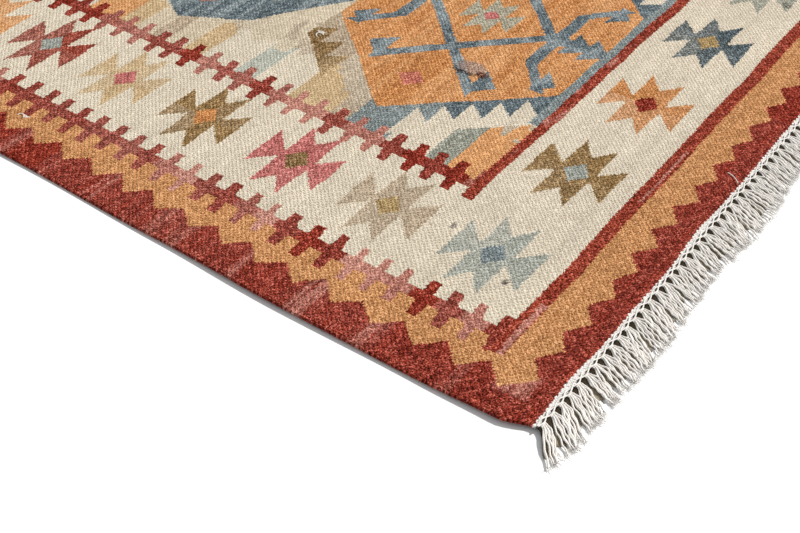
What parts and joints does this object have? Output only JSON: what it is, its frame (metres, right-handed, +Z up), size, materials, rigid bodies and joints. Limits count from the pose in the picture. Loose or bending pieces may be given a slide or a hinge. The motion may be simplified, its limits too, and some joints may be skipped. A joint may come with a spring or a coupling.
{
  "type": "kilim rug",
  "caption": "Flat-woven wool kilim rug with toothed borders, star motifs, hexagon medallions and a knotted cotton fringe along each end.",
  "frame": {"origin": "on the floor, under the middle of the rug", "axes": "+X across the rug's width, +Y along its length towards the far end, +Z up"},
  "size_m": [1.6352, 2.6246, 0.0098],
  "materials": {
    "wool": "matt weft-faced wool weave",
    "cotton": "matt twisted cotton cord"
  },
  "bodies": {
    "root": {"cloth": "wool", "fringe_near": "cotton", "fringe_far": "cotton"}
  },
  "joints": []
}
